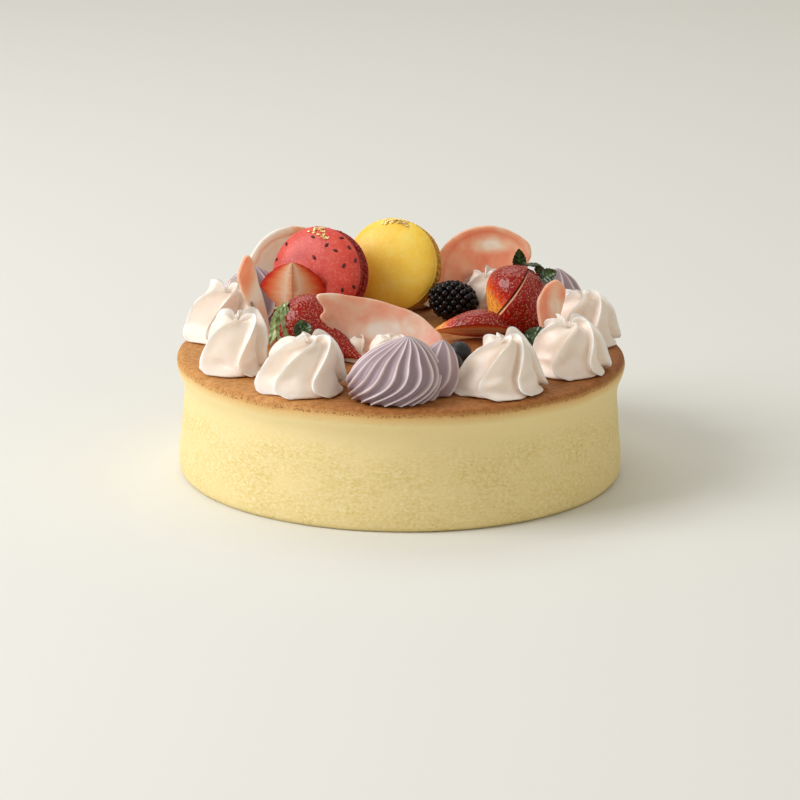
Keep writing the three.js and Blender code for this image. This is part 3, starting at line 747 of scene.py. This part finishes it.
def berry_body(name, length, radius, taper, cuts, upright):
    """A strawberry with its tip at the origin and its stem end on +Z, then stood up by upright
    and cut. Each cut is a point and the direction of what is taken off, seeds on it too."""
    rows = [0.5 - 0.5 * math.cos(math.pi * k / 72) for k in range(73)]
    profile = [(berry_radius(s, radius, taper), length * s) for s in rows]
    profile = [(0, 0), *(point for point in profile[1:-1] if point[0] > 0.1), (0, length)]
    body = turned(name, profile, 150, between=0)

    # Seeds: evenly over the skin, on a spiral from the stem end
    along = np.linspace(0, 1, 400)
    areas = np.cumsum([berry_radius(s, radius, taper) for s in along])
    count = round(areas[-1] * length / len(along) * 2 * math.pi / SKIN_PER_SEED)
    draw = np.random.default_rng(round(10 * length))
    seeds = []
    for k in range(count):
        s = float(np.interp((k + 0.5) / count, areas / areas[-1], along))
        s = min(max(s, 0.02), 0.97)
        angle = GOLDEN_ANGLE * k + draw.uniform(-0.12, 0.12)
        ahead, behind = (berry_radius(s + d, radius, taper) for d in (0.01, -0.01))
        slope = math.atan2(ahead - behind, 0.02 * length)
        seeds.append((s, angle, berry_radius(s, radius, taper), slope))

    def on_skin(s, angle, r, out=0.0, slope=0.0):
        out_r, out_z = out * math.cos(slope), -out * math.sin(slope)
        r = r + out_r
        return Vector((r * math.cos(angle), r * math.sin(angle), length * s + out_z)) * MM

    tree = KDTree(len(seeds))
    for k, (s, angle, r, slope) in enumerate(seeds):
        tree.insert(on_skin(s, angle, r), k)
    tree.balance()
    depths = [bell(tree.find(v.co)[2] / MM, PIT_RADIUS) for v in body.data.vertices]
    keep(body, "mark", depths)
    normals = [v.normal.copy() for v in body.data.vertices]
    for v, normal, depth in zip(body.data.vertices, normals, depths):
        v.co -= normal * depth * PIT_DEPTH * MM

    bpy.ops.mesh.primitive_ico_sphere_add(subdivisions=2, radius=MM)
    pip = bpy.context.object
    for v in pip.data.vertices:
        v.co.x *= 1 - 0.35 * v.co.x / MM
    places = []
    for s, angle, r, slope in seeds:
        lying = (
            Matrix.Translation(on_skin(s, angle, r, -SEED_INSET, slope))
            @ Matrix.Rotation(angle, 4, "Z")
            @ Matrix.Rotation(slope, 4, "Y")
            @ Matrix.Rotation(-math.pi / 2, 4, "Y")
            @ Matrix.Diagonal(Vector((0.42, 0.26, 0.22, 1)))
        )
        middle = upright @ lying.translation
        if all((middle - Vector(at) * MM).dot(Vector(off)) <= -0.3 * MM for at, off in cuts):
            places.append(lying)
    pips = copied(name + "_seeds", pip, places)

    body.data.transform(upright)
    pips.data.transform(upright)
    for point, off in cuts:
        slice_off(body, point, off)
    return body, pips


def slice_off(piece, point, off):
    """Takes off all that lies beyond the point in the direction off, and closes the cut. The
    closing faces get the second material."""
    point, off = Vector(point) * MM, Vector(off).normalized()
    bpy.context.view_layer.objects.active = piece
    bpy.ops.object.mode_set(mode="EDIT")
    bpy.ops.mesh.select_all(action="SELECT")
    bpy.ops.mesh.bisect(
        plane_co=point, plane_no=off, use_fill=True, clear_outer=True, threshold=1e-6
    )
    bpy.ops.object.mode_set(mode="OBJECT")
    for face in piece.data.polygons:
        if face.normal.dot(off) > 0.999 and abs((face.center - point).dot(off)) < 1e-6:
            face.material_index = 1
            face.use_smooth = False


seed_skin = material("strawberry_seed", base_color="#d4824e", roughness=0.25)[0]
berry_skin, add, surface, here = material(
    "strawberry_skin", roughness=0.2, ior=1.4, coat_weight=0.1, coat_roughness=0.12,
    subsurface_weight=0.06, subsurface_radius=(0.004, 0.001, 0.0006), subsurface_scale=1.0,
)
ripe = add("TexNoise", vector=here, scale=45.0, detail=2.0)
blush = add("Attribute", attribute_name="blush", out="Fac")
ripe = add("Math", "MULTIPLY_ADD", ripe, 0.35, blush)
tone = add(
    "ValToRGB", fac=ripe,
    stops=[(0.15, "#93100a"), (0.36, "#b81a0f"), (0.6, "#e04c18"), (0.84, "#ffb244")],
)
# Painted shade: the skin is darkened in each seed's pit
pit = add("Attribute", attribute_name="mark", out="Fac")
tone = add("Mix", blend_type="MULTIPLY", factor=pit, a=tone, b="#c9907c")
# Short pale lines between the pits are painted highlights, glints of the lamps; they also raise a
# bump
glint_noise = add("TexNoise", vector=here, scale=640.0, detail=1.0)
from_ridge = add("Math", "SUBTRACT", glint_noise, 0.5)
from_ridge = add("Math", "ABSOLUTE", from_ridge)
painted_glint_lines = add("MapRange", value=from_ridge, from_max=0.035, to_min=0.75, to_max=0.0)
broken = add("TexNoise", vector=here, scale=1100.0, detail=0.0)
broken = add("MapRange", value=broken, from_min=0.42, from_max=0.56)
painted_glint_lines = add("Math", "MULTIPLY", painted_glint_lines, broken)
tone = add("Mix", factor=painted_glint_lines, a=tone, b="#f0a48e")
lift = add("Bump", height=painted_glint_lines, strength=0.5, distance=0.0002)
plug(surface, base_color=tone, normal=lift, coat_normal=lift)


wet_flesh = [
    (0.0, "#e8a07c"), (0.08, "#f3b48a"), (0.2, "#fbdcbe"), (0.42, "#f4b488"), (0.66, "#ea7e4e"),
    (0.84, "#dc4424"), (0.98, "#b81c10"),
]
pale_flesh = [(0.0, "#fbe4ca"), (0.6, "#f8cfa8"), (0.95, "#f2a878"), (1.1, "#e88a5c")]


def flesh_finish(name, place, length, radius, taper, stops):
    """Cut flesh, wet: its tone follows how far it lies from the middle of its own berry, as a
    share of the berry's radius there."""
    made, add, surface, here = material(
        name, roughness=0.28, ior=1.4, coat_weight=0.25,
        subsurface_weight=0.3, subsurface_radius=(0.004, 0.0015, 0.001), subsurface_scale=1.0,
    )
    own = add(
        "Mapping", vector_type="TEXTURE", vector=here,
        location=place.to_translation(), rotation=place.to_euler(),
    )
    x, y, z = (add("SeparateXYZ", vector=own, out=axis) for axis in "XYZ")
    out = add("VectorMath", "LENGTH", add("CombineXYZ", x=x, y=y))
    share = add("MapRange", value=z, from_max=length * MM)
    bulge = add("Math", "POWER", share, taper)
    bulge = add("Math", "MULTIPLY", bulge, math.pi)
    bulge = add("Math", "SINE", bulge)
    bulge = add("Math", "POWER", bulge, BERRY_BULGE)
    full = add("Math", "MULTIPLY", bulge, radius * MM)
    ratio = add("Math", "DIVIDE", out, full)
    drawn = add("Mapping", vector=own, scale=(0.35, 0.35, 1.4))
    streak = add("TexNoise", vector=drawn, scale=420.0, detail=3.0)
    streak = add("MapRange", value=streak, to_min=-0.16, to_max=0.16)
    ratio = add("Math", "ADD", ratio, streak)
    lift = add("Bump", height=streak, strength=0.4, distance=0.0006)
    plug(surface, base_color=add("ValToRGB", fac=ratio, stops=stops), normal=lift)
    return made


def strawberry(
    name, length, radius, taper, place, cuts=(), upright=Matrix(), blush=None, flesh=wet_flesh,
    more=(),
):
    """One piece of strawberry. more gives the cuts of a second block of the same piece. blush is
    a place, a direction and a length over which the skin turns from red to gold."""
    body, pips = berry_body("fresh_" + name, length, radius, taper, cuts, upright)
    if more:
        block = berry_body("fresh_" + name, length, radius, taper, more, upright)
        body = joined("fresh_" + name, [body, block[0]])
        pips = joined("fresh_" + name + "_seeds", [pips, block[1]])
    body.data.transform(place)
    pips.data.transform(place)
    if blush:
        centre, towards, spread = Vector(blush[0]) * MM, Vector(blush[1]).normalized(), blush[2]
        gold = [(v.co - centre).dot(towards) / (spread * MM) for v in body.data.vertices]
        keep(body, "blush", gold)
    inside = flesh_finish("flesh_" + name, place @ upright, length, radius, taper, flesh)
    dressed(body, berry_skin, "strawberry", "strawberry_" + name)
    body.data.materials.append(inside)
    dressed(pips, seed_skin, "strawberry")


# The whole one lies on its side with its leaves towards the left front
tip, top = Vector((-14, -30.5, 56.8)), Vector((-54, 0.5, 71))
axis = top - tip
strawberry("whole", axis.length, 15.2, 2.3, standing(tip, axis))

# Behind it two quarters stand tip up, opened like a book with the cut faces to the front
HAIR = 0.04
foot = Vector((-50.5, 33.5, TABLE))
tip_up = Matrix.Translation((0, 0, 32.2 * MM)) @ Matrix.Rotation(math.pi, 4, "X")
for side, sign in (("right", 1), ("left", -1)):
    place = Matrix.Translation(foot * MM) @ Matrix.Rotation(math.radians(14 * sign), 4, "Z")
    cuts = [((0.05 * sign, 0, 0), (-sign, 0, 0)), ((0, HAIR, 0), (0, -1, 0)),
            ((0, 0, HAIR), (0, 0, -1))]
    strawberry("quarter_" + side, 33, 16.5, 0.95, place, cuts, tip_up)

# On the right one leans back. A slice cut from its front right has slid forwards and down
tip, fan_top = Vector((43.4, 28.5, 56.4)), Vector((62.7, 38.5, 83.6))
axis = fan_top - tip
place = standing(tip, axis, (0, -1, 0.3))
splay = math.radians(8)
left = Vector((math.cos(splay), math.sin(splay), 0))
front = Vector((-math.sin(splay), math.cos(splay), 0))
slid = Matrix.Translation((4 * front + Vector((0, 0, -2.5))) * MM)
strawberry(
    "fan_left", axis.length, 16.6, 1.3, place, [(5 * left, -left)],
    blush=((56, 20, 70), (-0.7, 0, -0.7), 13), flesh=pale_flesh,
    more=[(4.96 * left, left), (-4 * front, front)],
)
strawberry(
    "fan_right", axis.length, 16.6, 1.3, place @ slid, [(4.2 * left, left), (-3.2 * front, -front)],
    blush=((52, 20, 66), (-0.75, 0, -0.66), 18), flesh=pale_flesh,
)

# In front of the fan a half leans back, with its cut face to the front and one edge on the cake
half_radius, lean = 9.8, math.radians(32)
lift = half_radius * math.sin(lean)
tip, top = Vector((14.5, 15.5, TABLE + lift)), Vector((51.5, 16.5, TABLE + lift))
axis = top - tip
place = standing(tip, axis) @ Matrix.Rotation(math.pi / 2 - lean, 4, "Z")
strawberry(
    "half", axis.length, half_radius, 1.3, place, [((HAIR, 0, 0), (-1, 0, 0))],
    blush=((25, 16, 62), (-1, 0, 0), 10),
)


# Leaves: the strawberries' own, and sprigs of small glossy ones. Each is a thin wavy blade with a
# sunken midrib and side veins.
def blade(start, end, facing, width, curl):
    """One leaf from start to end; its upper side looks towards facing."""
    start, end = Vector(start), Vector(end)
    x = (end - start).normalized()
    y = Vector(facing).cross(x).normalized()
    length = (end - start).length

    def shape(u, v):
        # u runs round the blade: over the upper side, then back along the under side
        side = math.sin(2 * math.pi * u)
        across = math.cos(2 * math.pi * u)
        full = max(math.sin(math.pi * v**0.85), 0) ** 0.75
        half = 0.5 * width * full * (1 + 0.05 * math.sin(46 * v))
        rise = 0.7 * across * across + 0.35 * math.sin(9 * v + 2 * across) * abs(across)
        rise -= 0.3 * bell(across * half, 0.5)
        rise += 0.12 * math.sin(34 * v - 5 * abs(across)) + 0.24 * side
        return (length * v, half * across, curl * v * v + rise * min(1, 2.5 * full))

    leaf = bent_grid("leaf", 48, 40, shape, lambda u, v: 1 - abs(math.cos(2 * math.pi * u)))
    leaf.data.transform(Matrix.Translation(start * MM) @ axes(x, y, x.cross(y)))
    return leaf


def leaf_finish(name, dark, middle, light, roughness):
    """A thin waxy leaf, palest along its midrib."""
    made, add, surface, here = material(
        name, roughness=roughness, subsurface_weight=0.1, subsurface_scale=0.001, coat_weight=0.2
    )
    rib = add("Attribute", attribute_name="mark", out="Fac")
    cloud = add("TexNoise", vector=here, scale=350.0, detail=3.0)
    rib = add("Math", "POWER", rib, 6.0)
    mixed = add("Math", "MULTIPLY_ADD", rib, 0.5, cloud)
    tone = add("ValToRGB", fac=mixed, stops=[(0.3, dark), (0.6, middle), (0.95, light)])
    lift = add("Bump", height=cloud, strength=0.3, distance=0.0002)
    plug(surface, base_color=tone, normal=lift)
    return made


def leaf_spray(name, node_name, stem, finish, blades):
    """Leaves from one stem. Each has its end, facing, width and curl, and may have its own root."""
    made = []
    for end, facing, width, curl, *root in blades:
        root, end = Vector(root[0] if root else stem), Vector(end)
        made.append(blade(root.lerp(end, -0.1), end, facing, width, curl))
    spray = joined(name, made)
    dressed(spray, finish, "leaf", node_name)


calyx_green = leaf_finish("strawberry_calyx", "#6c8a4c", "#adc388", "#eef0d8", 0.45)
dark_green = leaf_finish("sprig_leaf", "#182b0c", "#2c4314", "#55702c", 0.3)
leaf_spray("calyx_whole", "strawberry_whole_leaves", (-52.5, -16, 78.5), calyx_green, [
    ((-58.5, -14.5, 61), (-0.5, -0.85, 0.15), 6.5, 0.5),
    ((-53.8, -19.5, 60.5), (-0.1, -0.95, 0.25), 6.5, -0.8),
    ((-48.7, -24.5, 62), (0.3, -0.9, 0.3), 6, -1.5),
    ((-55.5, -3, 76), (-0.3, -0.1, 0.95), 7, -1.5),
])
fan_stem = fan_top + Vector((19.3, 10, 27.2)).normalized() * 1.6
leaf_spray("calyx_fan", "strawberry_fan_leaves", fan_stem, dark_green, [
    ((52.5, 50.5, 84.5), (-0.3, 0.4, 0.85), 6, -1),
    ((54.2, 49, 91.3), (0.1, -0.95, 0.2), 6.5, 0.6, (54.8, 49.5, 81)),
    ((64, 48.5, 77.5), (0.2, 0.75, 0.6), 5, -1),
    ((71.2, 28.5, 85.4), (0, -0.85, 0.5), 7, -0.4, (64.6, 29, 81.5)),
])
leaf_spray("leaves_left", "sprig_left", (-45, -25, 73.7), dark_green, [
    ((-43, -28.5, 62.7), (-0.1, -0.9, 0.4), 7, 0.8),
    ((-39.5, -28, 69.2), (0.2, -0.8, 0.6), 4.5, 0.5),
])
leaf_spray("leaves_right", "sprig_right", (56.5, -17.5, 67.5), dark_green, [
    ((67, -19, 67.5), (0.1, -0.75, 0.65), 6.5, 1),
    ((60.5, -21, 62.3), (0, -0.9, 0.4), 5, 0.6),
])


# Bramble fruit: about a hundred round drupelets packed over a soft core, a third longer than it is
# wide. It is near black, and each drupelet is taut and glossy.
DRUPELETS = 112
BRAMBLE_RADIUS = 7.9
LONGER = 1.3
bramble_at = Vector((24.3, 53.5, 64.9))
lying = (
    Matrix.Translation(bramble_at * MM)
    @ Matrix.Rotation(-0.1, 4, "Z")
    @ Matrix.Rotation(0.14, 4, "Y")
)
draw = np.random.default_rng(7)
places = []
for k in range(DRUPELETS):
    along = 1 - 2 * (k + 0.5) / DRUPELETS
    around = GOLDEN_ANGLE * k
    ring = math.sqrt(1 - along * along)
    deep = BRAMBLE_RADIUS + draw.uniform(-0.35, 0.35)
    y, z = deep * ring * math.cos(around), deep * ring * math.sin(around)
    middle = Vector((LONGER * deep * along, y, z))
    outward = Vector((middle.x / LONGER, middle.y, middle.z)).normalized()
    size = draw.uniform(1.5, 1.8)
    swelled = Matrix.Diagonal(Vector((size, size, size * 1.1, 1)))
    turn = outward.to_track_quat("Z", "Y").to_matrix().to_4x4()
    places.append(lying @ Matrix.Translation(middle * MM) @ turn @ swelled)
bpy.ops.mesh.primitive_ico_sphere_add(subdivisions=3, radius=MM)
drupelets = copied("drupelets", bpy.context.object, places)
bpy.ops.mesh.primitive_ico_sphere_add(subdivisions=4, radius=MM)
core = bpy.context.object
core.data.transform(lying @ Matrix.Diagonal(Vector((9.6, 7.6, 7.6, 1))))
fruit = joined("bramble_fruit", [drupelets, core])
fruit.data.shade_smooth()
bramble_skin, add, surface, here = material("bramble_skin", roughness=0.16, ior=1.38)
cloud = add("TexNoise", vector=here, scale=160.0, detail=2.0)
tone = add("ValToRGB", fac=cloud, stops=[(0.35, "#050306"), (0.6, "#0e070c"), (0.8, "#1f0a10")])
plug(surface, base_color=tone)
dressed(fruit, bramble_skin, "bramble", "dark_bramble")


# Blueberries: small round fruit, a little flat, with a waxy bloom that dulls the dark skin. Each
# stands with its five-pointed crown upwards.
SQUASH = 0.92
CROWN_RADIUS = 0.3
bloom_skin, add, surface, here = material("blueberry_skin", roughness=0.45, sheen_weight=0.1)
bloom = add("TexNoise", vector=here, scale=180.0, detail=4.0, roughness=0.6)
tone = add("ValToRGB", fac=bloom, stops=[(0.35, "#07080a"), (0.55, "#0c0e13"), (0.78, "#1d222b")])
plug(surface, base_color=tone)


def blueberry(name, radius, x, y, crown):
    bpy.ops.mesh.primitive_uv_sphere_add(segments=40, ring_count=24, radius=radius * MM)
    berry = bpy.context.object
    berry.name = "fresh_" + name
    for v in berry.data.vertices:
        out = v.co.xy.length / (radius * MM)
        if v.co.z > 0 and out < 0.42:
            lobes = 0.5 + 0.5 * math.cos(5 * math.atan2(v.co.y, v.co.x))
            lip = bell(out - CROWN_RADIUS - 0.05 * lobes, 0.06)
            v.co.z += (0.09 * lip - 0.16 * max(0, 1 - (out / CROWN_RADIUS) ** 2)) * radius * MM
        v.co.z *= SQUASH
    finish_with(berry, "SUBSURF", levels=2, render_levels=2)
    bpy.ops.object.shade_smooth()
    berry.data.transform(Vector(crown).to_track_quat("Z", "Y").to_matrix().to_4x4())
    berry.data.transform(Matrix.Translation(Vector((x, y, TABLE + SQUASH * radius)) * MM))
    dressed(berry, bloom_skin, "blueberry", name)


blueberry("blueberry_right", 5.6, 26, -23.5, (0.1, 0.1, 1))
blueberry("blueberry_left", 5.8, 21.5, -44, (-0.1, 0.2, 1))


# Marbled chocolate: white chocolate swirled with coral, set thin in a shallow round mould and
# broken. The moulded rim has a small lip; the broken edges are rough.
SHEET_COLUMNS, SHEET_ROWS = 160, 22
SHEET_THICKNESS = 1.5
LIP_AT = 0.89


def smooth_loop(points, count):
    """Evenly spaced points on a smooth closed curve through the given ones."""
    around = eased(points[-2:] + points + points[:2], 12)[26:-13]
    curve = np.array(around)
    run = np.concatenate([[0], np.cumsum(np.linalg.norm(np.diff(curve, axis=0), axis=1))])
    even = np.linspace(0, run[-1], count, endpoint=False)
    return np.stack([np.interp(even, run, curve[:, c]) for c in (0, 1)], 1)


def chocolate_sheet(name, outline, bow, reach, at, axis, lip, roughness=0.25):
    """A sheet of that outline. It bows by bow at the distance reach from its middle, and a
    moulded one has a rim raised by lip."""
    edge = smooth_loop(outline, SHEET_COLUMNS)
    draw = np.random.default_rng(len(outline))
    ragged = np.cumsum(draw.normal(0, 1, SHEET_COLUMNS))
    ragged -= np.linspace(0, ragged[-1], SHEET_COLUMNS)
    ragged = roughness * (ragged - ragged.mean()) / (abs(ragged).max() + 1e-6)

    def shape(u, v):
        column = round(u * SHEET_COLUMNS) % SHEET_COLUMNS
        x, y = edge[column]
        out = math.hypot(x, y)
        jag = ragged[column] * max(0, (v - 0.8) / 0.2)
        x, y = x * v * (1 + jag / out), y * v * (1 + jag / out)
        rise = bow * (x * x + y * y) / reach**2
        whole = math.hypot(x, y) / reach
        rise += lip * (1 / (1 + math.exp(-(whole - LIP_AT) / 0.012)))
        return (x, y, rise)

    def mark(u, v):
        x, y = edge[round(u * SHEET_COLUMNS) % SHEET_COLUMNS]
        return v * math.hypot(x, y) / reach if lip else 0.0

    sheet = bent_grid(name, SHEET_COLUMNS, SHEET_ROWS, shape, mark, closed=False)
    finish_with(sheet, "SOLIDIFY", thickness=SHEET_THICKNESS * MM, offset=0)
    finish_with(sheet, "BEVEL", width=0.35 * MM, segments=2, limit_method="ANGLE")
    roughened(sheet, 9, 0.5)
    sheet.data.transform(standing(at, axis))
    return sheet


def broken_round(half_width, half_height, breaks):
    """The outline of a moulded round. Each break is a direction and its distance out."""
    points = []
    for k in range(36):
        angle = 2 * math.pi * k / 36
        u, v = half_width * math.cos(angle), half_height * math.sin(angle)
        for towards, distance in breaks:
            beyond = (u * math.cos(towards) + v * math.sin(towards)) / distance
            if beyond > 1:
                u, v = u / beyond, v / beyond
        points.append((u, v))
    return points


def marbled_finish(name, centre, pale_size):
    """White chocolate marbled with coral, palest round a place on the sheet, as wide and high as
    given: partly its own pale middle and partly a painted highlight. Light soaks deep into it."""
    made, add, surface, here = material(
        name, roughness=0.38, ior=1.45,
        subsurface_weight=0.9, subsurface_radius=(0.008, 0.0055, 0.0045), subsurface_scale=1.0,
    )
    warp = add("TexNoise", vector=here, scale=35.0, detail=2.0, out="Color")
    bent = add("VectorMath", "MULTIPLY_ADD", warp, (0.03,) * 3, here)
    vein = add("TexNoise", vector=bent, scale=60.0, detail=5.0, roughness=0.55)
    wide, high = pale_size
    own = add(
        "Mapping", vector_type="TEXTURE", vector=here, location=Vector(centre) * MM,
        scale=Vector((wide, wide, high)) * MM,
    )
    # Painted highlight over the marbling's own pale middle: the sheet pales round the given place
    off = add("VectorMath", "LENGTH", own)
    off = add("MapRange", value=off, from_min=0.35, to_min=0.32, to_max=0.0)
    mixed = add("Math", "ADD", vein, off)
    tone = add(
        "ValToRGB", fac=mixed,
        stops=[(0.36, "#e88c70"), (0.5, "#eda48c"), (0.64, "#f1bca6"), (0.85, "#f8e4d9")],
    )
    # A coral line along the inside of the lip: partly the marbling's coral rim, partly painted
    # shade inside the lip
    rim = add("Attribute", attribute_name="mark", out="Fac")
    rim_coral_and_shade = add(
        "ValToRGB", fac=rim,
        stops=[(0.8, "#000000"), (0.88, "#b4b4b4"), (0.9, "#606060"), (0.94, "#000000")],
    )
    plug(surface, base_color=add("Mix", factor=rim_coral_and_shade, a=tone, b="#dd7358"))
    return made


front_shard = [
    (-25.3, 5.6), (-27.1, 2.4), (-21.2, -3.9), (-15.7, -7.5), (-6.2, -12.8), (7, -14),
    (17.2, -14), (25.3, -12.5), (27.5, -8.4), (22.9, -1.7), (16.1, 4.6), (7.1, 8.6),
    (-3.8, 11.7), (-14.6, 12.9), (-22.7, 13.3), (-28.5, 11.5),
]
left_shard = [
    (-5.7, 17.7), (-7.1, 12.8), (-5.4, 6.7), (-2.2, -0.6), (1.3, -11), (3.4, -19.5),
    (7.4, -20), (7.5, -12), (6.1, 0), (4, 7), (1.3, 15), (-1.4, 20.8), (-3.9, 21.6),
]
right_shard = [
    (-1.7, 9), (-5.5, 5.3), (-7.9, 1.1), (-8.4, -6.1), (-8.2, -12), (-6.5, -20),
    (-1.5, -20), (1.4, -9.5), (3.9, -3.2), (5.8, 2), (5.7, 6.5), (2.4, 10),
]
below = -math.pi / 2
shards = [
    ("front", front_shard, 6, 25, (-9.5, -14, 69.9), (0.05, -0.88, 0.46), 0,
     (-6.5, -15, 68.5), (15, 7)),
    ("back_left", broken_round(25.3, 25.3, [(below, 14), (0, 14)]), 5, 25,
     (-52.5, 71.6, 69.6), (0.44, -0.86, 0.24), 1.2, (-60, 68, 84), (29, 29)),
    ("back_right", broken_round(25.5, 24, [(below, 14.2), (-0.3, 16)]), 5, 25,
     (41, 79, 70.1), (-0.06, -0.95, 0.3), 1.2, (42, 79, 85), (11, 5)),
    ("left", left_shard, 1.8, 14, (-68, 4, 76), (0.5, -0.8, 0.1), 0, (-61.5, 4, 72), (13, 60)),
    ("right", right_shard, 1.6, 10, (68, -8, 79.5), (0.42, -0.9, 0.2), 0, (69, -9, 78), (5, 12)),
]
for side, outline, bow, reach, at, axis, lip, pale_and_lit_at, pale_size in shards:
    name = "chocolate_" + side
    sheet = chocolate_sheet("marbled_" + name, outline, bow, reach, at, axis, lip)
    finish = marbled_finish("marbled_chocolate_" + side, pale_and_lit_at, pale_size)
    dressed(sheet, finish, "marbled_chocolate", name)
